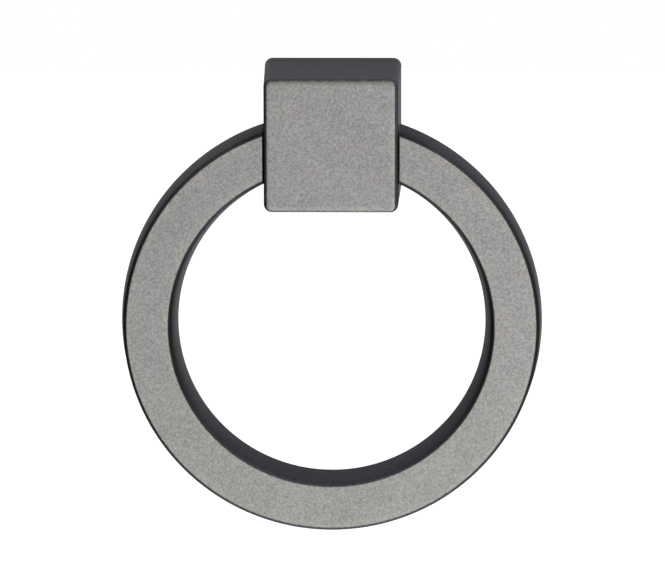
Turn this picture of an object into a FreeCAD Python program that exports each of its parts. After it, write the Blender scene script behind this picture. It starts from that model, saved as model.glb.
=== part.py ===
import FreeCAD, Part
import os
import Sketcher

# Ring pull handle for a drawer or cabinet door, in millimetres.
#
# A square block is screwed to the drawer front from behind. A flat-faced ring, open at the top,
# hangs with one end beside each side of the block. Both ends turn on a pin that crosses the
# block, so the ring swings out to be pulled and falls back to hang straight down.
#
# The origin is the centre of the block's back face, where it meets the drawer front. X is to the
# right, Y goes into the drawer and Z is up, so the face that is seen looks along -Y.

SIZES = {
    # Mounting block: its back face, and the draft that makes its front smaller
    "block_width": 20.5,
    "block_height": 20.5,
    "block_depth": 20.0,
    "block_draft": 1.45,
    "block_corner_radius": 1.2,
    "block_front_round": 0.9,
    # Fixing hole in the block's back, drilled and tapped for an M4 screw
    "tap_drill_diameter": 3.3,
    "fixing_hole_depth": 10.0,
    "drill_point_angle": 118.0,
    # Ring: its section at the back, and how much each side narrows towards the front
    "ring_outer_radius": 31.15,
    "ring_width": 8.45,
    "ring_outer_taper": 0.55,
    "ring_inner_taper": 0.95,
    "ring_depth": 6.4,
    "ring_front_round": 0.5,
    "ring_back_chamfer": 0.25,
    # Where the ring hangs
    "ring_behind_block_front": 0.2,
    "pivot_behind_ring_front": 3.3,
    "pivot_below_block_centre": 2.0,
    # Pivot pin, and how far each of its ends reaches into the ring
    "pin_diameter": 3.0,
    "pin_reach": 1.2,
    "pin_chamfer": 0.25,
    # Clearances: ring end to the block's side at its front, where the block is narrowest, pin to
    # its hole in the ring, pin end to the hole's floor
    "side_clearance": 0.3,
    "pin_running_clearance": 0.05,
    "pin_end_clearance": 0.3,
}

# Sizes and places that follow from those, as expressions
RING_INNER_RADIUS = "(Sizes.ring_outer_radius - Sizes.ring_width)"
RING_MIDDLE_RADIUS = "(Sizes.ring_outer_radius - Sizes.ring_width / 2)"
FRONT_OUTER_RADIUS = "(Sizes.ring_outer_radius - Sizes.ring_outer_taper)"
FRONT_INNER_RADIUS = f"({RING_INNER_RADIUS} + Sizes.ring_inner_taper)"
DRAFT_INSET = "(Sizes.block_depth * tan(Sizes.block_draft * 1 deg))"
FRONT_WIDTH = f"(Sizes.block_width - 2 * {DRAFT_INSET})"
FRONT_HEIGHT = f"(Sizes.block_height - 2 * {DRAFT_INSET})"
GAP_WIDTH = f"({FRONT_WIDTH} + 2 * Sizes.side_clearance)"
RING_FRONT_Y = "(Sizes.ring_behind_block_front - Sizes.block_depth)"
PIVOT_Y = f"({RING_FRONT_Y} + Sizes.pivot_behind_ring_front)"
PIVOT_Z = "(-Sizes.pivot_below_block_centre)"

# The ring's ends are cut upright and face each other, and the pivot is at mid height of the cut
PIVOT_ABOVE_RING_CENTRE = f"sqrt({RING_MIDDLE_RADIUS} ^ 2 - ({GAP_WIDTH} / 2) ^ 2)"

# How closely an edge must lie in a plane to be picked for a fillet
NEAR = 1e-4

doc = FreeCAD.newDocument("ring_pull_handle")

sheet = doc.addObject("Spreadsheet::Sheet", "Sizes")
for row, (alias, number) in enumerate(SIZES.items(), start=1):
    sheet.set(f"A{row}", alias.replace("_", " "))
    sheet.set(f"B{row}", str(number))
    sheet.setAlias(f"B{row}", alias)
doc.recompute()


def value(expression):
    """What an expression of the sheet's cells comes to now."""
    return float(sheet.evalExpression(expression))


def new_body(label):
    body = doc.addObject("PartDesign::Body", label)
    body.Label = label
    return body


def new_sketch(body, name, plane):
    """A sketch on one of the body's own planes, such as XZ_Plane."""
    sketch = body.newObject("Sketcher::SketchObject", name)
    support = next(item for item in body.Origin.OriginFeatures if item.Role == plane)
    sketch.AttachmentSupport = [(support, "")]
    sketch.MapMode = "FlatFace"
    return sketch


def new_feature(body, kind, name, sketch, **properties):
    """A feature made from a sketch."""
    feature = body.newObject(f"PartDesign::{kind}", name)
    feature.Profile = sketch
    for key, setting in properties.items():
        setattr(feature, key, setting)
    return feature


def origin():
    """A sketch's origin, as the pair of numbers that the sketcher knows it by."""
    return (-1, 1)


def upright_axis():
    return -2


def start_of(line):
    return (line, 1)


def end_of(line):
    return (line, 2)


def centre_of(circle):
    return (circle, 3)


def drive(sketch, name, kind, expression, *where):
    """Add a dimension to the sketch, such as DistanceX, and bind it to an expression."""
    numbers = [number for point in where for number in point]
    index = sketch.addConstraint(Sketcher.Constraint(kind, *numbers, value(expression)))
    sketch.renameConstraint(index, name)
    sketch.setExpression(f"Constraints.{name}", expression)


def draw_outline(sketch, corners, level, upright):
    """Lines through the corners and back to the first. level and upright list lines by number."""
    for first, last in zip(corners, corners[1:] + corners[:1]):
        line = Part.LineSegment(FreeCAD.Vector(*first, 0), FreeCAD.Vector(*last, 0))
        sketch.addGeometry(line, False)
    for line in range(len(corners)):
        after = (line + 1) % len(corners)
        sketch.addConstraint(Sketcher.Constraint("Coincident", *end_of(line), *start_of(after)))
    for line in level:
        sketch.addConstraint(Sketcher.Constraint("Horizontal", line))
    for line in upright:
        sketch.addConstraint(Sketcher.Constraint("Vertical", line))


def draw_circle(sketch, diameter, across=None, up=None):
    """A circle of that diameter, centred on the origin or placed by two expressions."""
    circle = Part.Circle()
    circle.Radius = value(diameter) / 2
    sketch.addGeometry(circle, False)
    drive(sketch, "diameter", "Diameter", diameter, (0,))
    if across is None:
        sketch.addConstraint(Sketcher.Constraint("Coincident", *centre_of(0), *origin()))
    else:
        drive(sketch, "across", "DistanceX", across, origin(), centre_of(0))
        drive(sketch, "up", "DistanceY", up, origin(), centre_of(0))


def dress_edges(body, kind, name, base, test, dimension, expression):
    """A fillet or chamfer on those of the base's edges that pass the test."""
    numbered = enumerate(base.Shape.Edges, start=1)
    feature = body.newObject(f"PartDesign::{kind}", name)
    feature.Base = (base, [f"Edge{number}" for number, edge in numbered if test(edge)])
    feature.setExpression(dimension, expression)
    doc.recompute()
    return feature


def lies_at_y(edge, y):
    return abs(edge.BoundBox.YMin - y) < NEAR and abs(edge.BoundBox.YMax - y) < NEAR


def runs_front_to_back(edge):
    return edge.BoundBox.YLength > edge.BoundBox.XLength + edge.BoundBox.ZLength


def is_round(edge):
    return isinstance(edge.Curve, Part.Circle)


def make_mounting_block():
    """A square block with draft, tapped from the back for its screw and bored for the pin."""
    body = new_body("mounting_block")

    block = body.newObject("PartDesign::AdditiveWedge", "Block")
    for limit, sign in (("min", "-"), ("max", "")):
        block.setExpression(f"X{limit}", f"{sign}{FRONT_WIDTH} / 2")
        block.setExpression(f"Z{limit}", f"{sign}{FRONT_HEIGHT} / 2")
        block.setExpression(f"X2{limit}", f"{sign}Sizes.block_width / 2")
        block.setExpression(f"Z2{limit}", f"{sign}Sizes.block_height / 2")
    block.setExpression("Ymin", "-Sizes.block_depth")
    block.setExpression("Ymax", "0")
    doc.recompute()

    rounded = dress_edges(body, "Fillet", "RoundCorners", block, runs_front_to_back,
                          "Radius", "Sizes.block_corner_radius")

    def front_rim(edge):
        return lies_at_y(edge, value("-Sizes.block_depth"))

    dress_edges(body, "Fillet", "RoundFront", rounded, front_rim,
                "Radius", "Sizes.block_front_round")

    fixing = new_sketch(body, "FixingHoleOutline", "XZ_Plane")
    draw_circle(fixing, "Sizes.tap_drill_diameter")
    doc.recompute()
    hole = new_feature(body, "Hole", "FixingHole", fixing, Reversed=True,
                       DepthType="Dimension", DrillPoint="Angled")
    hole.setExpression("Diameter", "Sizes.tap_drill_diameter")
    hole.setExpression("Depth", "Sizes.fixing_hole_depth")
    hole.setExpression("DrillPointAngle", "Sizes.drill_point_angle")
    doc.recompute()

    pin_hole = new_sketch(body, "PinHoleOutline", "YZ_Plane")
    draw_circle(pin_hole, "Sizes.pin_diameter", across=PIVOT_Y, up=PIVOT_Z)
    new_feature(body, "Pocket", "PinHole", pin_hole, Type="ThroughAll", SideType="Symmetric")
    doc.recompute()
    return body


def make_pull_ring():
    """A turned ring with sloping sides, cut open at the top, with a blind hole in each end.

    It is drawn about its own centre with its front face at Y 0, and placed where it hangs.
    """
    body = new_body("pull_ring")

    section = new_sketch(body, "RingSection", "YZ_Plane")
    depth = value("Sizes.ring_depth")
    corners = [(0.0, value(FRONT_INNER_RADIUS)), (0.0, value(FRONT_OUTER_RADIUS)),
               (depth, value("Sizes.ring_outer_radius")), (depth, value(RING_INNER_RADIUS))]
    draw_outline(section, corners, level=(), upright=(0, 2))
    section.addConstraint(Sketcher.Constraint("PointOnObject", *start_of(0), upright_axis()))
    drive(section, "depth", "DistanceX", "Sizes.ring_depth", origin(), start_of(2))
    drive(section, "front_inner", "DistanceY", FRONT_INNER_RADIUS, origin(), start_of(0))
    drive(section, "front_outer", "DistanceY", FRONT_OUTER_RADIUS, origin(), start_of(1))
    drive(section, "back_outer", "DistanceY", "Sizes.ring_outer_radius", origin(), start_of(2))
    drive(section, "back_inner", "DistanceY", RING_INNER_RADIUS, origin(), start_of(3))
    ring = new_feature(body, "Revolution", "Ring", section, ReferenceAxis=(section, ["H_Axis"]))
    ring.Angle = 360.0
    doc.recompute()

    opening = new_sketch(body, "OpeningOutline", "XZ_Plane")
    half_gap = value(GAP_WIDTH) / 2
    top = value("Sizes.ring_outer_radius")
    corners = [(-half_gap, 0.0), (half_gap, 0.0), (half_gap, top), (-half_gap, top)]
    draw_outline(opening, corners, level=(0, 2), upright=(1, 3))
    opening.addConstraint(Sketcher.Constraint("Symmetric", *start_of(0), *end_of(0), *origin()))
    drive(opening, "width", "DistanceX", GAP_WIDTH, start_of(0), end_of(0))
    drive(opening, "height", "DistanceY", "Sizes.ring_outer_radius", start_of(1), end_of(1))
    cut = new_feature(body, "Pocket", "Opening", opening, Type="ThroughAll", SideType="Symmetric")
    doc.recompute()

    def front_rim(edge):
        return is_round(edge) and lies_at_y(edge, cut.Shape.BoundBox.YMin)

    def back_rim(edge):
        return is_round(edge) and lies_at_y(edge, cut.Shape.BoundBox.YMax)

    eased = dress_edges(body, "Fillet", "RoundFront", cut, front_rim,
                        "Radius", "Sizes.ring_front_round")
    dress_edges(body, "Chamfer", "ChamferBack", eased, back_rim,
                "Size", "Sizes.ring_back_chamfer")

    pin_holes = new_sketch(body, "PinHolesOutline", "YZ_Plane")
    draw_circle(pin_holes, "Sizes.pin_diameter + 2 * Sizes.pin_running_clearance",
                across="Sizes.pivot_behind_ring_front", up=PIVOT_ABOVE_RING_CENTRE)
    holes = new_feature(body, "Pocket", "PinHoles", pin_holes, Type="Length", SideType="Symmetric")
    holes.setExpression("Length", f"{GAP_WIDTH} + 2 * (Sizes.pin_reach + Sizes.pin_end_clearance)")
    doc.recompute()

    body.setExpression("Placement.Base.y", RING_FRONT_Y)
    body.setExpression("Placement.Base.z", f"{PIVOT_Z} - {PIVOT_ABOVE_RING_CENTRE}")
    return body


def make_pivot_pin():
    """A straight pin with chamfered ends, as long as the gap and its reach into both ring ends."""
    body = new_body("pivot_pin")
    section = new_sketch(body, "PinOutline", "YZ_Plane")
    draw_circle(section, "Sizes.pin_diameter")
    pin = new_feature(body, "Pad", "Pin", section, SideType="Symmetric")
    pin.setExpression("Length", f"{GAP_WIDTH} + 2 * Sizes.pin_reach")
    doc.recompute()

    def end_rim(edge):
        return is_round(edge) and edge.BoundBox.XLength < NEAR

    dress_edges(body, "Chamfer", "ChamferEnds", pin, end_rim, "Size", "Sizes.pin_chamfer")
    body.setExpression("Placement.Base.y", PIVOT_Y)
    body.setExpression("Placement.Base.z", PIVOT_Z)
    return body


def check(bodies):
    """Stop if any object failed to build or any finished piece isn't one sound solid."""
    for item in doc.Objects:
        if "Invalid" in item.State or "Error" in item.State:
            raise RuntimeError(f"{item.Label} did not build: {item.State}")
    for body in bodies:
        if body.Shape.isNull() or not body.Shape.isValid() or len(body.Shape.Solids) != 1:
            raise RuntimeError(f"{body.Label} is not one sound solid")


pieces = [make_mounting_block(), make_pull_ring(), make_pivot_pin()]
doc.recompute()
check(pieces)

os.makedirs("parts", exist_ok=True)
for piece in pieces:
    piece.Shape.exportStep(f"parts/{piece.Label}.step")
    print(piece.Label, "volume", round(piece.Shape.Volume, 2), "box", piece.Shape.BoundBox)
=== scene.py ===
"""A ring pull handle for a drawer or cabinet door, dressed for its picture.

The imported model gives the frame: a square block that is screwed to the drawer front, a
flat-faced ring that hangs from it, and the pin that the ring turns on. X is to the right, Y goes
into the drawer and Z is up, in metres, with the origin at the centre of the block's back face.
"""

import logging
import math
from collections.abc import Callable, Iterable
from dataclasses import dataclass
from enum import Enum

import bmesh
import bpy
from mathutils import Matrix, Quaternion, Vector


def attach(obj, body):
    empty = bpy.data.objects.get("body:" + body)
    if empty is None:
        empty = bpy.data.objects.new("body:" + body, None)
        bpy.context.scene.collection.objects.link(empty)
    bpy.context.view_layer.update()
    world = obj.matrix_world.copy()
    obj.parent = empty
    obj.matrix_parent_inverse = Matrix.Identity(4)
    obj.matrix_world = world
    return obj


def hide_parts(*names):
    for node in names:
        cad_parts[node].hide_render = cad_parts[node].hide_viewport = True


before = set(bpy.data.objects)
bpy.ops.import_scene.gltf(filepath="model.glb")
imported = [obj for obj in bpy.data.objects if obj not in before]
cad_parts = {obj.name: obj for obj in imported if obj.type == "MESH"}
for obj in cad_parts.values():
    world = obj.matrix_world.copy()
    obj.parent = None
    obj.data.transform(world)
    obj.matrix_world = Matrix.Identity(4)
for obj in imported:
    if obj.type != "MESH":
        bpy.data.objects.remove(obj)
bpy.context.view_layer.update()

MM = 0.001
PIN_PLACE = (0.0, -16.5 * MM, -2.0 * MM)
PIN_RADIUS = 1.5 * MM
BORE_SEGMENTS = 48
MERGE_DISTANCE = 0.0005 * MM
CUT_TOLERANCE = 0.0001 * MM
SHARP_ANGLE = math.radians(34)

Colour = tuple[float, float, float, float]
Place = tuple[float, float, float]
Span = tuple[float, float]
Socket = bpy.types.NodeSocket
Piece = bpy.types.Object
Mesh = bmesh.types.BMesh
Vertex = bmesh.types.BMVert
Edge = bmesh.types.BMEdge
Face = bmesh.types.BMFace

log = logging.getLogger("ring_pull")


class WearAndShade(Enum):
    """The wear and painted shade that are painted on a piece, by the name of its mesh attribute."""

    RUBBED = "rubbed"
    RIM_AND_SHADE = "rim"
    MARGIN = "margin"


class Finish(Enum):
    """The places of the two finishes in a piece's material slots."""

    PATINA = 0
    CUT_METAL = 1


@dataclass(frozen=True)
class Mottle:
    """One layer of mottling in a finish.

    Attributes:
        size: The size of a patch in metres.
        detail: How many finer layers it has.
        rough: How strong each finer layer is.
        strength: How much it changes the tone.
    """

    size: float
    detail: float
    rough: float
    strength: float = 0.0


@dataclass(frozen=True)
class Paint:
    """How much of each kind of wear a point of a surface has, from 0 to 1; rim also holds painted
    shade.
    """

    rubbed: float = 0.0
    # rim holds the dark rims, which are partly patina and partly painted shade, and the painted shade
    # on the block's top and on the ring's cut ends.
    rim: float = 0.0
    margin: float = 0.0


def smooth_step(low: float, high: float, number: float) -> float:
    """Ease from 0 to 1 between two limits.

    Args:
        low: Where the rise starts.
        high: Where it ends.
        number: The number to ease.

    Returns:
        A share from 0 to 1.
    """
    share = min(1.0, max(0.0, (number - low) / (high - low)))
    return share * share * (3.0 - 2.0 * share)


def degrees_round(down: float, radius: float) -> float:
    """Turn a distance behind the front into degrees round the edge, from 0 to 90."""
    return math.degrees(math.acos(1.0 - min(down, radius) / radius))


class NodeBoard:
    """Places the nodes of one material or world, and joins their sockets."""

    def __init__(self, tree: bpy.types.NodeTree) -> None:
        """Start on a node tree, and empty it."""
        self.tree = tree
        self.tree.nodes.clear()

    def add(self, kind: str, **settings: object) -> bpy.types.Node:
        """Add one node.

        Args:
            kind: The node's type without its ShaderNode prefix.
            settings: Properties to set on it.

        Returns:
            The new node.
        """
        node = self.tree.nodes.new(f"ShaderNode{kind}")
        for name, setting in settings.items():
            setattr(node, name, setting)
        return node

    def feed(self, target: Socket, source: object) -> None:
        """Join a socket to another, or set it to a fixed number or colour.

        Args:
            target: The input socket.
            source: An output socket, or the value that the input takes.
        """
        if isinstance(source, Socket):
            self.tree.links.new(source, target)
        elif isinstance(source, tuple):
            target.default_value = source[: len(target.default_value)]
        else:
            target.default_value = source

    def math(self, operation: str, *values: object, clamp: bool = False) -> Socket:
        """Work out a number.

        Args:
            operation: The Math node's operation.
            values: Its inputs, as sockets or numbers.
            clamp: Whether the result stays from 0 to 1.

        Returns:
            The result's socket.
        """
        node = self.add("Math", operation=operation, use_clamp=clamp)
        for socket, source in zip(node.inputs, values):
            self.feed(socket, source)
        return node.outputs[0]

    def noise(self, place: Socket, mottle: Mottle) -> Socket:
        """Make the noise of one layer of mottling.

        Args:
            place: The coordinates that it follows.
            mottle: The layer.

        Returns:
            The noise's socket, around 0.5.
        """
        node = self.add("TexNoise")
        self.feed(node.inputs["Vector"], place)
        node.inputs["Scale"].default_value = 1.0 / mottle.size
        node.inputs["Detail"].default_value = mottle.detail
        node.inputs["Roughness"].default_value = mottle.rough
        return node.outputs["Fac"]

    def painted(self, wear: WearAndShade) -> Socket:
        """Read one kind of painted wear or painted shade, from 0 to 1."""
        return self.add("Attribute", attribute_name=wear.value).outputs["Fac"]

    def ease(self, number: Socket, low: float, high: float, start: float, end: float) -> Socket:
        """Ease from one number to another as a socket goes from low to high.

        Args:
            number: The socket that is read.
            low: Its value at the start.
            high: Its value at the end.
            start: The result at the start.
            end: The result at the end.

        Returns:
            The result's socket.
        """
        node = self.add("MapRange", interpolation_type="SMOOTHSTEP")
        for name, source in zip(
            ("Value", "From Min", "From Max", "To Min", "To Max"), (number, low, high, start, end)
        ):
            self.feed(node.inputs[name], source)
        return node.outputs["Result"]

    def blend(self, share: object, first: object, second: object) -> Socket:
        """Mix two colours.

        Args:
            share: How much of the second there is.
            first: The colour at 0.
            second: The colour at 1.

        Returns:
            The mixed colour's socket.
        """
        node = self.add("Mix", data_type="RGBA")
        self.feed(node.inputs[0], share)
        self.feed(node.inputs[6], first)
        self.feed(node.inputs[7], second)
        return node.outputs[2]

    def along(self, place: Socket, axis: str) -> Socket:
        """Read one coordinate.

        Args:
            place: The coordinates.
            axis: X, Y or Z.

        Returns:
            The coordinate's socket.
        """
        node = self.add("SeparateXYZ")
        self.feed(node.inputs["Vector"], place)
        return node.outputs[axis]

    def shade(self, colour: object, amount: object) -> Socket:
        """Make a colour lighter or darker.

        Args:
            colour: The colour.
            amount: The number that it is multiplied by.

        Returns:
            The new colour's socket.
        """
        node = self.add("VectorMath", operation="SCALE")
        self.feed(node.inputs[0], colour)
        self.feed(node.inputs["Scale"], amount)
        return node.outputs[0]

    def roughen(self, shader: bpy.types.Node, height: object, strength: float, depth: float) -> None:
        """Give a shader a fine relief.

        Args:
            shader: The shader.
            height: The relief's height, from 0 to 1.
            strength: How strong it is.
            depth: How deep it is in metres.
        """
        bump = self.add("Bump")
        bump.inputs["Strength"].default_value = strength
        bump.inputs["Distance"].default_value = depth
        self.feed(bump.inputs["Height"], height)
        self.feed(shader.inputs["Normal"], bump.outputs["Normal"])


def new_material(name: str) -> tuple[bpy.types.Material, NodeBoard, bpy.types.Node]:
    """Make a material with one shader joined to its output.

    Args:
        name: The material's name.

    Returns:
        The material, its node board and its shader.
    """
    material = bpy.data.materials.new(name)
    material.use_nodes = True
    board = NodeBoard(material.node_tree)
    shader = board.add("BsdfPrincipled")
    board.feed(board.add("OutputMaterial").inputs["Surface"], shader.outputs[0])
    return material, board, shader


@dataclass(frozen=True)
class DarkSpot:
    """A round place where the surface is dark, such as a nick, or a patch of painted shade.

    Attributes:
        place: Its middle, in metres.
        radius: How far it reaches, in metres.
        core: The share of the radius within which it is fully dark.
    """

    place: Place
    radius: float
    core: float = 0.45


@dataclass(frozen=True)
class PatinatedBrass:
    """Dark patina and painted shade on the sides, rubbed back to a pale tumbled grey on the faces
    seen from the front.

    Attributes:
        rubbed_cool: Colour of a rubbed face in its middle.
        rubbed_rosy: Colour that it drifts to in broad patches.
        rubbed_olive: Colour that it drifts to low down.
        rubbed_warm: Colour of a rubbed face along its edges.
        patina_and_shade: Colour of the dark sides, partly patina and partly painted shade.
        rim: Colour of the dark rims and spots, and of the painted shade.
        metallic: How much of the finish is bare metal.
        side_gloss: Roughness of the sides.
        face_gloss: Roughness of the rubbed faces.
        gloss_spread: How much the grain changes the roughness.
        side_sheen: Specular level of the sides.
        face_sheen: Specular level of the rubbed faces.
        sheen_tint: Tint of the sheen.
        grain: The finest mottling.
        speck: The specks, which also fray the edge of a rubbed face.
        cloud: The soft clouds.
        tint: The patches of warmth.
        drift: The broad patches of the rosy colour.
        askew: How the mottling is turned, so that no face lies along its grid.
        low: The heights between which a face turns olive.
        low_share: How olive it is at the lower one.
        relief: Strength of the fine relief.
        relief_depth: Its depth.
    """

    rubbed_cool: Colour = (0.326, 0.325, 0.330, 1.0)
    rubbed_rosy: Colour = (0.336, 0.325, 0.327, 1.0)
    rubbed_olive: Colour = (0.320, 0.325, 0.309, 1.0)
    rubbed_warm: Colour = (0.349, 0.339, 0.316, 1.0)
    patina_and_shade: Colour = (0.096, 0.094, 0.112, 1.0)
    rim: Colour = (0.018, 0.018, 0.017, 1.0)
    metallic: float = 0.20
    side_gloss: float = 0.50
    face_gloss: float = 0.56
    gloss_spread: float = 0.3
    side_sheen: float = 0.020
    face_sheen: float = 0.060
    sheen_tint: Colour = (0.2, 0.2, 0.2, 1.0)
    grain: Mottle = Mottle(0.34 * MM, 1.0, 0.7, 1.10)
    speck: Mottle = Mottle(1.1 * MM, 2.0, 0.7, 0.24)
    cloud: Mottle = Mottle(5.0 * MM, 3.0, 0.55, 0.20)
    tint: Mottle = Mottle(2.4 * MM, 2.0, 0.6)
    drift: Mottle = Mottle(7.0 * MM, 2.0, 0.5)
    askew: Place = (0.5, 0.3, 0.7)
    low: Span = (-62.0 * MM, -8.0 * MM)
    low_share: float = 0.75
    relief: float = 0.35
    relief_depth: float = 0.02 * MM

    def material(self, name: str, spots: Iterable[DarkSpot] = ()) -> bpy.types.Material:
        """Make the material.

        Args:
            name: Its name.
            spots: Dark places of the piece that wears it: nicks, and patches of painted shade.

        Returns:
            The material.
        """
        material, board, shader = new_material(name)
        place = board.add("TexCoord").outputs["Object"]
        askew = board.add("Mapping")
        askew.inputs["Rotation"].default_value = self.askew
        board.feed(askew.inputs["Vector"], place)
        turned = askew.outputs["Vector"]
        grain, speck, cloud = (
            board.noise(turned, mottle) for mottle in (self.grain, self.speck, self.cloud)
        )
        tone = 1.0 - 0.5 * (self.grain.strength + self.speck.strength + self.cloud.strength)
        tone = board.math("MULTIPLY_ADD", grain, self.grain.strength, tone)
        tone = board.math("MULTIPLY_ADD", speck, self.speck.strength, tone)
        tone = board.math("MULTIPLY_ADD", cloud, self.cloud.strength, tone)

        ragged = board.math("MULTIPLY_ADD", speck, 0.5, -0.25)
        rubbed = board.math("ADD", board.painted(WearAndShade.RUBBED), ragged)
        rubbed = board.ease(rubbed, 0.2, 0.8, 0.0, 1.0)
        # dark gathers the dark rims, the nicks and the painted shade, which all take the rim colour.
        dark = board.painted(WearAndShade.RIM_AND_SHADE)
        for spot in spots:
            dark = board.math("MAXIMUM", dark, self.inside(board, place, spot))
        face = board.shade(self.face_colour(board, place, turned), tone)
        # The sides take the dark colour: partly patina, and partly painted shade of light that falls
        # from the front.
        colour = board.blend(rubbed, board.shade(self.patina_and_shade, tone), face)
        board.feed(shader.inputs["Base Color"], board.blend(dark, colour, self.rim))

        spread = self.face_gloss - self.side_gloss
        rough = board.math("MULTIPLY_ADD", rubbed, spread, self.side_gloss)
        around = board.math("SUBTRACT", grain, 0.5)
        rough = board.math("MULTIPLY_ADD", around, self.gloss_spread, rough, clamp=True)
        board.feed(shader.inputs["Roughness"], rough)
        # Where it is dark, the metal and the sheen go too, so the dark rims, nicks and painted shade
        # reflect nothing.
        shine = board.math("SUBTRACT", 1.0, dark)
        board.feed(shader.inputs["Metallic"], board.math("MULTIPLY", shine, self.metallic))
        spread = self.face_sheen - self.side_sheen
        sheen = board.math("MULTIPLY_ADD", rubbed, spread, self.side_sheen)
        board.feed(shader.inputs["Specular IOR Level"], board.math("MULTIPLY", sheen, shine))
        shader.inputs["Specular Tint"].default_value = self.sheen_tint
        height = board.math("MULTIPLY_ADD", speck, 0.6, grain)
        board.roughen(shader, height, self.relief, self.relief_depth)
        return material

    def face_colour(self, board: NodeBoard, place: Socket, turned: Socket) -> Socket:
        """Mix the colour of a rubbed face.

        Args:
            board: The material's node board.
            place: The coordinates.
            turned: The coordinates that the mottling follows.

        Returns:
            The colour's socket, before its tone.
        """
        warmth = board.math("MULTIPLY_ADD", board.noise(turned, self.tint), 1.4, -0.55)
        warmth = board.math("ADD", board.painted(WearAndShade.MARGIN), warmth, clamp=True)
        drift = board.ease(board.noise(turned, self.drift), 0.3, 0.7, 0.0, 1.0)
        middle = board.blend(drift, self.rubbed_cool, self.rubbed_rosy)
        low = board.ease(board.along(place, "Z"), *self.low, self.low_share, 0.0)
        return board.blend(warmth, board.blend(low, middle, self.rubbed_olive), self.rubbed_warm)

    def inside(self, board: NodeBoard, place: Socket, spot: DarkSpot) -> Socket:
        """Tell how far inside a dark spot the surface is.

        Args:
            board: The material's node board.
            place: The coordinates.
            spot: The spot.

        Returns:
            A socket that is 1 in its core and 0 outside it.
        """
        away = board.add("VectorMath", operation="DISTANCE")
        board.feed(away.inputs[0], place)
        board.feed(away.inputs[1], spot.place)
        return board.ease(away.outputs["Value"], spot.core * spot.radius, spot.radius, 1.0, 0.0)


@dataclass(frozen=True)
class CutBrass:
    """Brass as the drill and the tap leave it, with fine cutting marks.

    Attributes:
        bright: Colour of the cut metal.
        dull: Colour where it has gone dull.
        marks: The cutting marks.
        stain: The patches where it has gone dull.
    """

    bright: Colour = (0.52, 0.40, 0.20, 1.0)
    dull: Colour = (0.24, 0.19, 0.12, 1.0)
    marks: Mottle = Mottle(0.25 * MM, 2.0, 0.7)
    stain: Mottle = Mottle(1.5 * MM, 3.0, 0.6)

    def material(self, name: str) -> bpy.types.Material:
        """Make the material.

        Args:
            name: Its name.

        Returns:
            The material.
        """
        material, board, shader = new_material(name)
        place = board.add("TexCoord").outputs["Object"]
        marks = board.noise(place, self.marks)
        share = board.ease(board.noise(place, self.stain), 0.35, 0.68, 0.0, 1.0)
        colour = board.blend(share, self.bright, self.dull)
        tone = board.math("MULTIPLY_ADD", marks, 0.5, 0.75)
        board.feed(shader.inputs["Base Color"], board.shade(colour, tone))
        board.feed(shader.inputs["Roughness"], board.math("MULTIPLY_ADD", marks, 0.3, 0.22))
        shader.inputs["Metallic"].default_value = 1.0
        board.roughen(shader, marks, 0.4, 0.01 * MM)
        return material


@dataclass(frozen=True)
class GroundSteel:
    """Steel ground round, with fine lines about the pin, and its ends painted dark as painted shade.

    Attributes:
        colour: Colour of the steel.
        end_shade: Colour of the ends: painted shade, where they lie in the gap and in the ring's
            holes.
        end_from: How far from the middle the painted shade on the ends begins.
        end_fade: Over what length they fade in.
        lines: The grinding lines.
        stretch: How the coordinates are scaled, so that the lines run round.
    """

    colour: Colour = (0.50, 0.50, 0.51, 1.0)
    end_shade: Colour = (0.03, 0.03, 0.03, 1.0)
    end_from: float = 9.6 * MM
    end_fade: float = 0.4 * MM
    lines: Mottle = Mottle(0.08 * MM, 2.0, 0.6)
    stretch: Place = (1.0, 0.04, 0.04)

    def material(self, name: str) -> bpy.types.Material:
        """Make the material.

        Args:
            name: Its name.

        Returns:
            The material.
        """
        material, board, shader = new_material(name)
        place = board.add("TexCoord").outputs["Object"]
        mapping = board.add("Mapping")
        mapping.inputs["Scale"].default_value = self.stretch
        board.feed(mapping.inputs["Vector"], place)
        lines = board.noise(mapping.outputs["Vector"], self.lines)
        tone = board.math("MULTIPLY_ADD", lines, 0.36, 0.82)
        # The ends lie in the gap and in the ring's holes, so they are painted dark as painted shade
        # and lose their shine.
        away = board.math("ABSOLUTE", board.along(place, "X"))
        bright = board.ease(away, self.end_from - self.end_fade, self.end_from, 1.0, 0.0)
        colour = board.blend(bright, self.end_shade, board.shade(self.colour, tone))
        board.feed(shader.inputs["Base Color"], colour)
        board.feed(shader.inputs["Roughness"], board.math("MULTIPLY_ADD", lines, 0.25, 0.2))
        board.feed(shader.inputs["Metallic"], bright)
        board.feed(shader.inputs["Specular IOR Level"], board.math("MULTIPLY", bright, 0.5))
        return material


def paint_wear_and_shade(bm: Mesh, wear_and_shade_at: Callable[[Vector], Paint]) -> None:
    """Paint the wear and the painted shade on every vertex.

    Args:
        bm: The mesh.
        wear_and_shade_at: What gives the wear and painted shade at a point.
    """
    layers = {wear: bm.verts.layers.float.new(wear.value) for wear in WearAndShade}
    for vertex in bm.verts:
        paint = wear_and_shade_at(vertex.co)
        for wear, layer in layers.items():
            vertex[layer] = getattr(paint, wear.value)


def edges_where(bm: Mesh, test: Callable[[Vector], bool], boundary: bool = False) -> list[Edge]:
    """Find the edges whose two ends both pass a test.

    Args:
        bm: The mesh.
        test: The test of a point.
        boundary: Whether only open edges count.

    Returns:
        The edges.
    """
    return [
        edge
        for edge in bm.edges
        if all(test(vertex.co) for vertex in edge.verts) and (edge.is_boundary or not boundary)
    ]


def edges_among(bm: Mesh, vertices: Iterable[Vertex]) -> list[Edge]:
    """List the edges that join some vertices to each other.

    Args:
        bm: The mesh.
        vertices: The vertices.

    Returns:
        The edges, in the mesh's own order.
    """
    group = set(vertices)
    return [edge for edge in bm.edges if group.issuperset(edge.verts)]


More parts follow.
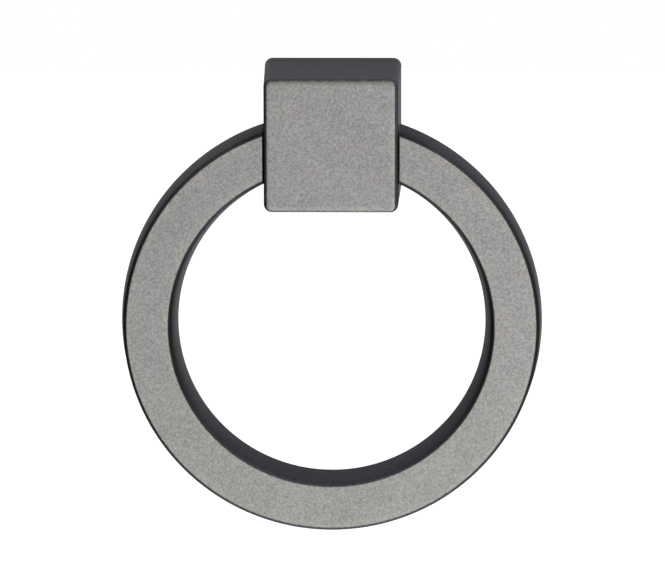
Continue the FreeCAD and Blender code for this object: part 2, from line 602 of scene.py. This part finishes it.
def cut_flat(bm: Mesh, faces: list[Face], place: Vector, across: Vector, **clear: bool) -> None:
    """Cut some faces with a plane.

    Args:
        bm: The mesh.
        faces: The faces.
        place: A point of the plane.
        across: The direction square to the plane.
        clear: clear_outer to drop what lies that way, or clear_inner to drop the rest.
    """
    edges = dict.fromkeys(edge for face in faces for edge in face.edges)
    corners = dict.fromkeys(vertex for face in faces for vertex in face.verts)
    bmesh.ops.bisect_plane(
        bm,
        geom=[*faces, *edges, *corners],
        dist=CUT_TOLERANCE,
        plane_co=place,
        plane_no=across,
        **clear,
    )


def circle_across(bm: Mesh, place: Place, radius: float) -> list[Vertex]:
    """Draw a circle square to the X axis.

    Args:
        bm: The mesh to draw in.
        place: Its centre.
        radius: Its radius.

    Returns:
        Its vertices.
    """
    turn = Matrix.Translation(place) @ Matrix.Rotation(math.pi / 2, 4, "Y")
    return bmesh.ops.create_circle(bm, segments=BORE_SEGMENTS, radius=radius, matrix=turn)["verts"]


def extrude_loop(bm: Mesh, edges: list[Edge], move: Callable[[Vector], Vector]) -> list[Edge]:
    """Extrude an open loop of edges into a wall of cut metal, and move the new loop.

    Args:
        bm: The mesh.
        edges: The loop.
        move: What gives the new place of a point.

    Returns:
        The edges of the new loop.
    """
    made = bmesh.ops.extrude_edge_only(bm, edges=edges)["geom"]
    vertices = [item for item in made if isinstance(item, Vertex)]
    for vertex in vertices:
        vertex.co = move(vertex.co)
    for item in made:
        if isinstance(item, Face):
            item.material_index = Finish.CUT_METAL.value
    return edges_among(bm, vertices)


def round_off(
    bm: Mesh, sharp: list[Edge] | list[Vertex], reach: float, segments: int, affect: str = "EDGES"
) -> None:
    """Round edges or corners off.

    Args:
        bm: The mesh.
        sharp: The edges or corners.
        reach: How far the round reaches from each.
        segments: How many strips it has.
        affect: EDGES, or VERTICES for the corners of a flat outline.
    """
    bmesh.ops.bevel(
        bm,
        geom=sharp,
        offset=reach,
        offset_type="OFFSET",
        affect=affect,
        segments=segments,
        profile=0.5,
        material=-1,
        clamp_overlap=False,
    )


def make_piece(bm: Mesh, name: str) -> Piece:
    """Turn a closed mesh into an object with even normals, and put it in the scene.

    Args:
        bm: The mesh, which is freed.
        name: The object's name.

    Returns:
        The object.
    """
    bmesh.ops.remove_doubles(bm, verts=bm.verts, dist=MERGE_DISTANCE)
    bmesh.ops.recalc_face_normals(bm, faces=bm.faces)
    for face in bm.faces:
        face.smooth = True
    for edge in bm.edges:
        edge.smooth = edge.is_manifold and edge.calc_face_angle() < SHARP_ANGLE
    mesh = bpy.data.meshes.new(name)
    bm.to_mesh(mesh)
    bm.free()
    piece = bpy.data.objects.new(name, mesh)
    bpy.context.scene.collection.objects.link(piece)

    even = piece.modifiers.new("even_normals", "WEIGHTED_NORMAL")
    even.keep_sharp = True
    graph = bpy.context.evaluated_depsgraph_get()
    settled = bpy.data.meshes.new_from_object(
        piece.evaluated_get(graph), preserve_all_data_layers=True, depsgraph=graph
    )
    piece.modifiers.clear()
    piece.data = settled
    bpy.data.meshes.remove(mesh)
    settled.name = name
    return piece


@dataclass(frozen=True)
class RimWearAndShade:
    """How the round along one side of the block's front has worn, with painted light and shade on it.

    Attributes:
        kept: How far round, in degrees, it is still rubbed pale.
        lost: How far round the pale metal has gone.
        dark: How dark the rim beyond it is, from 0 to 1.
        warm: How warm the margin of the face beside it is, from 0 to 1.
    """

    kept: float
    lost: float
    dark: float
    warm: float


@dataclass
class MountingBlock:
    """The square block, tapped from the back and bored across for the pin.

    Attributes:
        width: Width and height at the back.
        depth: Depth from the drawer front.
        draft: How far each side slopes inwards towards the front, in degrees.
        corner_radius: Radius of the four corners.
        front_round: Reach of the round about the front face.
        back_ease: Reach of the small round about the back face.
        margin: Width of the warm margin on the front face.
        bore_radius: Radius of the tapping bore.
        bore_depth: Its depth to the start of the drill point.
        thread_radius: Radius at the bottom of the thread.
        pitch: Pitch of the thread.
        thread_end: Depth of the last turn.
        run_out: Length over which the thread runs out.
        thread_angle: Angle of a flank to the thread's depth, in degrees.
        drill_angle: Angle of the drill's point to its axis, in degrees.
        tip_radius: Radius at which the drill's point is closed.
        mouth_radius: Radius of the countersink.
        mouth_depth: Its depth.
        right: The wear, and painted light and shade, along the front's right side.
        left: The same along its left side.
        top: The same along its top.
        bottom: The same along its bottom.
        rim_fade: How far behind the round the dark rim fades out.
        top_shade_front: How dark the painted shade on the top is at its front, from 0 to 1.
        top_shade_rise: How much darker the painted shade gets towards the back.
        nicks: Small nicks in the front's left edge.
        gap_shade_spots: Painted shade on the sides, behind the ring's ends, where the gap lies in
            shade.
    """

    width: float = 20.4 * MM
    depth: float = 20.0 * MM
    draft: float = 0.97
    corner_radius: float = 1.2 * MM
    front_round: float = 0.9 * MM
    back_ease: float = 0.15 * MM
    margin: float = 1.0 * MM
    bore_radius: float = 1.65 * MM
    bore_depth: float = 10.0 * MM
    thread_radius: float = 2.0 * MM
    pitch: float = 0.7 * MM
    thread_end: float = 8.6 * MM
    run_out: float = 0.3 * MM
    thread_angle: float = 30.0
    drill_angle: float = 59.0
    tip_radius: float = 0.02 * MM
    mouth_radius: float = 2.15 * MM
    mouth_depth: float = 0.5 * MM
    right: RimWearAndShade = RimWearAndShade(18.0, 36.0, 0.6, 0.8)
    left: RimWearAndShade = RimWearAndShade(20.0, 42.0, 0.7, 0.7)
    top: RimWearAndShade = RimWearAndShade(0.0, 105.0, 0.0, 0.6)
    bottom: RimWearAndShade = RimWearAndShade(25.0, 75.0, 0.2, 0.1)
    rim_fade: float = 0.6 * MM
    top_shade_front: float = 0.12
    top_shade_rise: float = 0.30
    nicks: tuple[DarkSpot, ...] = (
        DarkSpot((-9.72 * MM, -19.75 * MM, 4.2 * MM), 0.50 * MM),
        DarkSpot((-9.72 * MM, -19.75 * MM, -8.5 * MM), 0.40 * MM),
    )
    # Painted shade on the block's sides, in the gap behind the ring's ends.
    gap_shade_spots: tuple[DarkSpot, ...] = (
        DarkSpot((-18.0 * MM, -15.0 * MM, PIN_PLACE[2]), 9.6 * MM, 0.87),
        DarkSpot((18.0 * MM, -15.0 * MM, PIN_PLACE[2]), 9.6 * MM, 0.87),
    )

    def half_at(self, y: float) -> float:
        """Give half the block's width at a place from front to back."""
        return self.width / 2 + y * math.tan(math.radians(self.draft))

    def build(self) -> Piece:
        """Build the block.

        Returns:
            The block's object.
        """
        bm = bmesh.new()
        self.shape_body(bm)
        self.bore_across(bm)
        self.tap_from_back(bm)
        bmesh.ops.remove_doubles(bm, verts=bm.verts, dist=MERGE_DISTANCE)
        paint_wear_and_shade(bm, self.wear_and_shade_at)
        return make_piece(bm, "block")

    def shape_body(self, bm: Mesh) -> None:
        """Make the rounded block with a margin set into its front face.

        Args:
            bm: The mesh to build in.
        """
        size = Matrix.Diagonal((self.width, self.depth, self.width, 1.0))
        middle = Matrix.Translation((0.0, -self.depth / 2, 0.0))
        bmesh.ops.create_cube(bm, size=1.0, matrix=middle @ size)
        narrow = self.half_at(-self.depth) / self.half_at(0.0)
        front = [vertex for vertex in bm.verts if vertex.co.y < -self.depth / 2]
        bmesh.ops.scale(bm, vec=(narrow, 1.0, narrow), verts=front)
        along = [edge for edge in bm.edges if edge.verts[0].co.y != edge.verts[1].co.y]
        round_off(bm, along, self.corner_radius, segments=10)
        front = edges_where(bm, lambda co: co.y < -self.depth + 0.01 * MM)
        round_off(bm, front, self.front_round, segments=8)
        back = edges_where(bm, lambda co: co.y > -0.001 * MM)
        round_off(bm, back, self.back_ease, segments=3)
        for share in (0.35, 0.7, 1.0):
            line = self.half_at(-self.depth) - self.front_round - share * self.margin
            for toward in ((1.0, 0.0, 0.0), (-1.0, 0.0, 0.0), (0.0, 0.0, 1.0), (0.0, 0.0, -1.0)):
                flat = [face for face in bm.faces if face.normal.y < -0.9999]
                cut_flat(bm, flat, Vector(toward) * line, Vector(toward))

    def bore_across(self, bm: Mesh) -> None:
        """Bore the block from side to side for the pin.

        Args:
            bm: The mesh to build in.
        """
        for side in (-1.0, 1.0):
            wall = max(bm.faces, key=lambda item: side * item.normal.x * item.calc_area())
            rim = list(wall.edges)
            bmesh.ops.delete(bm, geom=[wall], context="FACES_ONLY")
            circle = circle_across(bm, PIN_PLACE, PIN_RADIUS)
            for vertex in circle:
                vertex.co.x = side * self.half_at(vertex.co.y)
            ring = edges_among(bm, circle)
            bmesh.ops.triangle_fill(bm, use_beauty=True, edges=rim + ring)
            extrude_loop(bm, ring, lambda co: Vector((0.0, co.y, co.z)))

    def tap_from_back(self, bm: Mesh) -> None:
        """Tap the hole in the back face, with its countersink and the drill's point.

        Args:
            bm: The mesh to build in.
        """
        back = max(bm.faces, key=lambda item: item.normal.y * item.calc_area())
        outline = list(back.edges)
        bmesh.ops.delete(bm, geom=[back], context="FACES_ONLY")
        self.wind_thread(bm)

        def lies_at(depth: float) -> Callable[[Vector], bool]:
            """Give a test of a point near the hole at a depth."""
            near = 1.2 * self.mouth_radius
            return lambda co: abs(co.y + depth) < 0.002 * MM and math.hypot(co.x, co.z) < near

        def at_radius(radius: float, depth: float) -> Callable[[Vector], Vector]:
            """Give a move of a point straight out to a radius, and to a depth."""
            inward = Vector((0.0, -depth, 0.0))
            return lambda co: Vector((co.x, 0.0, co.z)).normalized() * radius + inward

        top = edges_where(bm, lies_at(self.mouth_depth), boundary=True)
        mouth = extrude_loop(bm, top, at_radius(self.mouth_radius, 0.0))
        bmesh.ops.triangle_fill(bm, use_beauty=True, edges=outline + mouth)

        bottom = edges_where(bm, lies_at(self.thread_end), boundary=True)
        run_out = self.thread_end + self.run_out
        bottom = extrude_loop(bm, bottom, at_radius(self.bore_radius, run_out))
        bottom = extrude_loop(bm, bottom, at_radius(self.bore_radius, self.bore_depth))
        tip = self.bore_depth + self.bore_radius / math.tan(math.radians(self.drill_angle))
        point = extrude_loop(bm, bottom, at_radius(self.tip_radius, tip))
        rim = list(dict.fromkeys(vertex for edge in point for vertex in edge.verts))
        bmesh.ops.pointmerge(bm, verts=rim, merge_co=(0.0, -tip, 0.0))

    def wind_thread(self, bm: Mesh) -> None:
        """Wind the thread round the bore, and cut it off flat at both ends.

        Args:
            bm: The mesh to build in.
        """
        height = self.thread_radius - self.bore_radius
        flank = height * math.tan(math.radians(self.thread_angle))
        root = self.pitch / 8
        crest = self.pitch - root - 2 * flank
        stations = [
            (self.bore_radius, 0.0),
            (self.bore_radius, crest),
            (self.thread_radius, crest + flank),
            (self.thread_radius, crest + flank + root),
            (self.bore_radius, self.pitch),
        ]
        first = [
            bmesh.ops.create_vert(bm, co=(radius, self.pitch - down, 0.0))["vert"][0]
            for radius, down in stations
        ]
        chain = [bm.edges.new(pair) for pair in zip(first, first[1:])]
        turns = math.ceil(self.thread_end / self.pitch) + 2
        before = set(bm.faces)

        def thread() -> list[Face]:
            """List the faces that the thread has so far."""
            return [face for face in bm.faces if face not in before]

        bmesh.ops.spin(
            bm,
            geom=first + chain,
            cent=(0.0, 0.0, 0.0),
            axis=(0.0, 1.0, 0.0),
            dvec=(0.0, -self.pitch / BORE_SEGMENTS, 0.0),
            angle=math.tau * turns,
            steps=BORE_SEGMENTS * turns,
        )
        corners = list(dict.fromkeys(vertex for face in thread() for vertex in face.verts))
        bmesh.ops.remove_doubles(bm, verts=corners, dist=MERGE_DISTANCE)
        for depth, outward in ((self.mouth_depth, 1.0), (self.thread_end, -1.0)):
            place = Vector((0.0, -depth, 0.0))
            cut_flat(bm, thread(), place, Vector((0.0, outward, 0.0)), clear_outer=True)
        for face in thread():
            face.material_index = Finish.CUT_METAL.value

    def wear_and_shade_at(self, co: Vector) -> Paint:
        """Give the wear and painted shade at a point of the block.

        Args:
            co: The point.

        Returns:
            The wear and painted shade there.
        """
        core = self.half_at(co.y) - self.corner_radius
        out = Vector((co.x - max(-core, min(core, co.x)), co.z - max(-core, min(core, co.z))))
        total = out.length_squared or 1.0
        sides = self.around(out.x, out.y)
        shares = [(wear, max(0.0, reach) ** 2 / total) for wear, reach in sides]
        # Each side's rim is partly patina and partly painted light and shade: a painted highlight
        # keeps the top edge pale, and painted shade darkens the side rims most.
        kept = sum(share * wear.kept for wear, share in shares)
        lost = sum(share * wear.lost for wear, share in shares)
        dark = sum(share * wear.dark for wear, share in shares)

        down = max(0.0, co.y + self.depth)
        gone = smooth_step(kept, max(lost, 1.0), degrees_round(down, self.front_round))
        fade = 1.0 - smooth_step(self.front_round, self.front_round + self.rim_fade, down)
        # Painted shade on the top, darker towards the back.
        wall = smooth_step(0.8 * self.front_round, self.front_round, down)
        top = wall * max(0.0, out.y) ** 2 / total
        top_shade = top * (self.top_shade_front + self.top_shade_rise * down / self.depth)

        flat = self.half_at(-self.depth) - self.front_round
        warm = max(
            wear.warm * (1.0 - smooth_step(0.0, self.margin, flat - reach))
            for wear, reach in self.around(co.x, co.z)
        )
        return Paint(rubbed=1.0 - gone, rim=max(gone * fade * dark, top_shade), margin=warm)

    def around(self, right: float, up: float) -> list[tuple[RimWearAndShade, float]]:
        """Pair the wear and painted shade of each side with how far a point lies that way."""
        return [(self.right, right), (self.left, -right), (self.top, up), (self.bottom, -up)]

    def dress(self, piece: Piece) -> None:
        """Give the block its finishes, and let it stand for the CAD block.

        Args:
            piece: The block's object.
        """
        spots = self.nicks + self.gap_shade_spots
        piece.data.materials.clear()
        piece.data.materials.append(PatinatedBrass().material("patinated_brass_block", spots))
        piece.data.materials.append(CutBrass().material("cut_brass_block"))
        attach(piece, "block")
        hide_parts("mounting_block")


@dataclass
class PullRing:
    """The turned ring, cut open at the top, with a blind hole in each end.

    Attributes:
        front: The place of its front face.
        outer_radius: Outer radius at the back.
        inner_radius: Inner radius at the back.
        outer_taper: How much the outside narrows towards the front.
        inner_taper: How much the inside widens towards the front.
        depth: Thickness from front to back.
        front_round: Radius of the two front rounds.
        back_chamfer: Size of the two back chamfers.
        half_gap: Half the width of the opening.
        end_ease: Reach of the small round about each cut end.
        hole_radius: Radius of the blind holes.
        hole_depth: Their depth.
        steps: Number of steps in the full turn.
        kept: How far round, in degrees, the front rounds are still rubbed pale.
        lost: How far round the pale metal has gone.
        rim_fade: How far behind the rounds the dark rims fade out.
        rim_least: How dark the rims are at the ring's foot, against 1 at its sides; this change round
            the ring is painted shade.
        rim_by_block: How dark they are beside the block.
        by_block: From where to where, sideways, that darkness fades.
        margin: From where to where, inwards from a round, the warm margin fades.
    """

    front: float = -19.8 * MM
    outer_radius: float = 31.15 * MM
    inner_radius: float = 22.7 * MM
    outer_taper: float = 0.55 * MM
    inner_taper: float = 0.95 * MM
    depth: float = 6.4 * MM
    front_round: float = 0.62 * MM
    back_chamfer: float = 0.25 * MM
    half_gap: float = 10.044 * MM
    end_ease: float = 0.06 * MM
    hole_radius: float = 1.55 * MM
    hole_depth: float = 1.5 * MM
    steps: int = 320
    kept: float = 2.0
    lost: float = 24.0
    rim_fade: float = 0.5 * MM
    rim_least: float = 0.12
    rim_by_block: float = 0.7
    by_block: Span = (10.5 * MM, 20.0 * MM)
    margin: Span = (-0.2 * MM, 1.3 * MM)

    @property
    def level(self) -> float:
        """Height of the ring's centre, with the pin in the middle of its cut ends."""
        middle = (self.outer_radius + self.inner_radius) / 2
        return PIN_PLACE[2] - math.sqrt(middle**2 - self.half_gap**2)

    def build(self) -> Piece:
        """Build the ring.

        Returns:
            The ring's object.
        """
        bm = bmesh.new()
        self.turn_section(bm)
        for side in (-1.0, 1.0):
            self.cut_end(bm, side)
        bmesh.ops.remove_doubles(bm, verts=bm.verts, dist=MERGE_DISTANCE)
        paint_wear_and_shade(bm, self.wear_and_shade_at)
        return make_piece(bm, "ring")

    def turn_section(self, bm: Mesh) -> None:
        """Draw the ring's section at the top and spin it round.

        Args:
            bm: The mesh to build in.
        """
        back = self.front + self.depth
        outline = [
            (self.front, self.inner_radius + self.inner_taper),
            (self.front, self.outer_radius - self.outer_taper),
            (back, self.outer_radius),
            (back, self.inner_radius),
        ]
        corners = [
            bmesh.ops.create_vert(bm, co=(0.0, y, self.level + radius))["vert"][0]
            for y, radius in outline
        ]
        bm.faces.new(corners)
        # The front corners are wider than a right angle, so their rounds reach less far.
        reach = 0.89 * self.front_round
        round_off(bm, corners[:2], reach, segments=9, affect="VERTICES")
        round_off(bm, corners[2:], self.back_chamfer, segments=1, affect="VERTICES")
        flat = [edge for edge in bm.edges if abs(edge.verts[0].co.y - edge.verts[1].co.y) < 1e-9]
        line = min(flat, key=lambda edge: edge.verts[0].co.y)
        bmesh.ops.subdivide_edges(bm, edges=[line], cuts=7)
        bmesh.ops.delete(bm, geom=list(bm.faces), context="FACES_ONLY")
        bmesh.ops.spin(
            bm,
            geom=[*bm.verts, *bm.edges],
            cent=(0.0, self.front, self.level),
            axis=(0.0, 1.0, 0.0),
            angle=math.tau,
            steps=self.steps,
            use_merge=True,
        )

    def cut_end(self, bm: Mesh, side: float) -> None:
        """Cut one end of the ring square to the block, and drill it.

        Args:
            bm: The mesh to build in.
            side: 1 for the end on the right, and -1 for the one on the left.
        """
        near = [
            face
            for face in bm.faces
            if face.calc_center_median().z > self.level
            and 0.0 < side * face.calc_center_median().x < 1.5 * self.half_gap
        ]
        across = Vector((side, 0.0, 0.0))
        cut_flat(bm, near, across * self.half_gap, across, clear_inner=True)

        def at_cut(co: Vector) -> bool:
            """Test whether a point lies in the cut."""
            return abs(co.x - side * self.half_gap) < 0.002 * MM and co.z > self.level

        rim = edges_where(bm, at_cut, boundary=True)
        bmesh.ops.edgeloop_fill(bm, edges=rim)
        round_off(bm, edges_where(bm, at_cut), self.end_ease, segments=3)
        end = max(
            (face for face in bm.faces if all(at_cut(vertex.co) for vertex in face.verts)),
            key=lambda face: face.calc_area(),
        )
        rim = list(end.edges)
        bmesh.ops.delete(bm, geom=[end], context="FACES_ONLY")
        place = (side * self.half_gap, *PIN_PLACE[1:])
        mouth = edges_among(bm, circle_across(bm, place, self.hole_radius))
        bmesh.ops.triangle_fill(bm, use_beauty=True, edges=rim + mouth)
        floor = side * (self.half_gap + self.hole_depth)
        bottom = extrude_loop(bm, mouth, lambda co: Vector((floor, co.y, co.z)))
        bmesh.ops.edgeloop_fill(bm, edges=bottom, mat_nr=Finish.CUT_METAL.value)

    def wear_and_shade_at(self, co: Vector) -> Paint:
        """Give the wear and painted shade at a point of the ring.

        Args:
            co: The point.

        Returns:
            The wear and painted shade there.
        """
        across, up = abs(co.x), co.z - self.level
        radius = math.hypot(across, up)
        down = max(0.0, co.y - self.front)
        gone = smooth_step(self.kept, self.lost, degrees_round(down, self.front_round))
        fade = 1.0 - smooth_step(self.front_round, self.front_round + self.rim_fade, down)
        # The dark rims are partly patina and partly painted shade: darkest at the sides and palest at
        # the foot.
        rim = self.rim_least + (1.0 - self.rim_least) * (across / radius) ** 2
        # The cut ends face the block across the gap, so they are painted dark all over as painted
        # shade, and are not rubbed pale.
        cut = 0.0
        if up > 0.0:
            cut = 1.0 - smooth_step(0.0, self.end_ease, across - self.half_gap)
            rim = max(rim, self.rim_by_block * (1.0 - smooth_step(*self.by_block, across)))
        inner = self.inner_radius + self.inner_taper + self.front_round
        outer = self.outer_radius - self.outer_taper - self.front_round
        from_edge = min(radius - inner, outer - radius)
        return Paint(
            rubbed=(1.0 - gone) * (1.0 - cut),
            rim=max(gone * fade * rim, cut),
            margin=1.0 - smooth_step(*self.margin, from_edge),
        )

    def dress(self, piece: Piece) -> None:
        """Give the ring its finishes, and let it stand for the CAD ring.

        Args:
            piece: The ring's object.
        """
        piece.data.materials.clear()
        piece.data.materials.append(PatinatedBrass().material("patinated_brass_ring"))
        piece.data.materials.append(CutBrass().material("cut_brass_ring"))
        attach(piece, "ring")
        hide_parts("pull_ring")


@dataclass
class PivotPin:
    """The straight steel pin with chamfered ends.

    Attributes:
        length: Its length.
        chamfer: Size of its end chamfers.
        segments: Number of flats round it.
    """

    length: float = 22.488 * MM
    chamfer: float = 0.25 * MM
    segments: int = 64

    def build(self) -> Piece:
        """Build the pin.

        Returns:
            The pin's object.
        """
        bm = bmesh.new()
        bmesh.ops.create_cone(
            bm,
            cap_ends=True,
            segments=self.segments,
            radius1=PIN_RADIUS,
            radius2=PIN_RADIUS,
            depth=self.length,
            matrix=Matrix.Translation(PIN_PLACE) @ Matrix.Rotation(math.pi / 2, 4, "Y"),
        )
        for side in (-1.0, 1.0):
            rim = edges_where(bm, lambda co: side * co.x > self.length / 2 - 0.01 * MM)
            round_off(bm, rim, self.chamfer, segments=1)
        return make_piece(bm, "pin")

    def dress(self, piece: Piece) -> None:
        """Give the pin its finish, and let it stand for the CAD pin.

        Args:
            piece: The pin's object.
        """
        piece.data.materials.clear()
        piece.data.materials.append(GroundSteel().material("ground_steel"))
        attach(piece, "block")
        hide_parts("pivot_pin")


@dataclass(frozen=True)
class SoftLamp:
    """A soft box that points at the handle.

    Attributes:
        name: Its name.
        place: Where it stands.
        size: Its width and height.
        power: Its power in watts.
    """

    name: str
    place: Place
    size: Span
    power: float


@dataclass
class Studio:
    """The plain pale floor, the soft lamps, the white surroundings and the camera.

    Attributes:
        aim: The point that the camera looks at.
        distance: How far away it stands.
        elevation: How far it stands above the aim, in degrees.
        azimuth: How far it stands to the right, in degrees.
        roll: How far it leans to the left, in degrees.
        lens: Its focal length in millimetres.
        sensor: The width of its sensor in millimetres.
        floor_level: Height of the floor.
        floor_size: Half the floor's width.
        floor_haze: The soft patches on the floor.
        floor_greys: The two greys that they mix.
        glow_reach: From where to where, outwards, the floor's glow rises.
        glow: How strong it is there.
        sky: How strongly the surroundings light the handle.
        lamps: The soft boxes.
    """

    aim: Place = (0.215 * MM, -20.0 * MM, -21.84 * MM)
    distance: float = 0.9
    elevation: float = 10.754
    azimuth: float = 1.05
    roll: float = -0.097
    lens: float = 331.41
    sensor: float = 36.0
    floor_level: float = -0.6
    floor_size: float = 4.0
    floor_haze: Mottle = Mottle(0.3, 2.0, 0.5)
    floor_greys: tuple[Colour, Colour] = ((0.78, 0.78, 0.78, 1.0), (0.82, 0.82, 0.82, 1.0))
    glow_reach: Span = (0.65, 1.2)
    glow: Span = (0.6, 1.0)
    sky: float = 0.24
    lamps: tuple[SoftLamp, ...] = (
        SoftLamp("key", (0.20, -0.36, -0.26), (0.3, 0.3), 1.8),
        SoftLamp("fill", (-0.8, -1.2, 0.3), (0.9, 0.9), 1.7),
        SoftLamp("side", (1.5, 0.1, 0.1), (0.8, 0.8), 6.0),
        SoftLamp("back", (-0.3, 1.3, 0.5), (1.0, 1.0), 0.6),
    )

    def build(self) -> None:
        """Set the whole studio up."""
        self.lay_floor()
        self.hang_lamps()
        self.surround()
        self.place_camera()

    def seen(self, board: NodeBoard) -> Socket:
        """Tell rays that see or mirror the surroundings from those that light the handle.

        Args:
            board: The node board to work on.

        Returns:
            A socket that is 1 for the first kind.
        """
        path = board.add("LightPath")
        camera, glossy = path.outputs["Is Camera Ray"], path.outputs["Is Glossy Ray"]
        seen = board.math("MAXIMUM", camera, glossy)
        return board.math("MAXIMUM", seen, path.outputs["Is Transmission Ray"])

    def lay_floor(self) -> None:
        """Lay a pale floor far below, which looks white."""
        bm = bmesh.new()
        level = Matrix.Translation((0.0, 0.0, self.floor_level))
        bmesh.ops.create_grid(bm, x_segments=8, y_segments=8, size=self.floor_size, matrix=level)
        mesh = bpy.data.meshes.new("floor")
        bm.to_mesh(mesh)
        bm.free()
        floor = bpy.data.objects.new("floor", mesh)
        bpy.context.scene.collection.objects.link(floor)

        material, board, shader = new_material("pale_floor")
        place = board.add("TexCoord").outputs["Object"]
        grey = board.blend(board.noise(place, self.floor_haze), *self.floor_greys)
        board.feed(shader.inputs["Base Color"], grey)
        shader.inputs["Roughness"].default_value = 0.9
        shader.inputs["Specular IOR Level"].default_value = 0.0
        away = board.add("VectorMath", operation="LENGTH")
        board.feed(away.inputs[0], place)
        glow = board.ease(away.outputs["Value"], *self.glow_reach, *self.glow)
        shader.inputs["Emission Color"].default_value = (1.0, 1.0, 1.0, 1.0)
        board.feed(shader.inputs["Emission Strength"], board.math("MULTIPLY", glow, self.seen(board)))
        mesh.materials.append(material)

    def hang_lamps(self) -> None:
        """Hang the soft boxes."""
        for lamp in self.lamps:
            light = bpy.data.lights.new(lamp.name, "AREA")
            light.shape = "RECTANGLE"
            light.size, light.size_y = lamp.size
            light.energy = lamp.power
            holder = bpy.data.objects.new(lamp.name, light)
            holder.location = lamp.place
            holder.rotation_mode = "QUATERNION"
            toward = Vector(self.aim) - Vector(lamp.place)
            holder.rotation_quaternion = toward.to_track_quat("-Z", "Y")
            bpy.context.scene.collection.objects.link(holder)

    def surround(self) -> None:
        """Make the surroundings white to look at, and a plain soft grey as a light."""
        world = bpy.data.worlds.new("surroundings")
        world.use_nodes = True
        board = NodeBoard(world.node_tree)
        strength = board.math("MULTIPLY_ADD", self.seen(board), 1.0 - self.sky, self.sky)
        background = board.add("Background")
        background.inputs["Color"].default_value = (1.0, 1.0, 1.0, 1.0)
        board.feed(background.inputs["Strength"], strength)
        board.feed(board.add("OutputWorld").inputs["Surface"], background.outputs[0])
        bpy.context.scene.world = world

    def place_camera(self) -> None:
        """Stand the camera where the photographer stood."""
        right, up = math.radians(self.azimuth), math.radians(self.elevation)
        level = math.cos(up)
        look = Vector((-math.sin(right) * level, math.cos(right) * level, -math.sin(up)))
        data = bpy.data.cameras.new("camera")
        data.lens = self.lens
        data.sensor_width = self.sensor
        data.sensor_fit = "HORIZONTAL"
        data.clip_start = 0.05
        data.clip_end = 50.0
        camera = bpy.data.objects.new("camera", data)
        camera.location = Vector(self.aim) - look * self.distance
        camera.rotation_mode = "QUATERNION"
        lean = Quaternion((0.0, 0.0, 1.0), math.radians(self.roll))
        camera.rotation_quaternion = look.to_track_quat("-Z", "Y") @ lean
        bpy.context.scene.collection.objects.link(camera)
        bpy.context.scene.camera = camera


def main() -> None:
    """Build, dress and report each piece, then set the studio up."""
    logging.basicConfig(level=logging.INFO, format="%(name)s: %(message)s")
    for part in (MountingBlock(), PullRing(), PivotPin()):
        piece = part.build()
        part.dress(piece)
        triangles = sum(len(face.vertices) - 2 for face in piece.data.polygons)
        log.info("%s: %d triangles", piece.name, triangles)
    Studio().build()
    bpy.context.scene.view_settings.view_transform = "Standard"


if __name__ == "__main__":
    main()
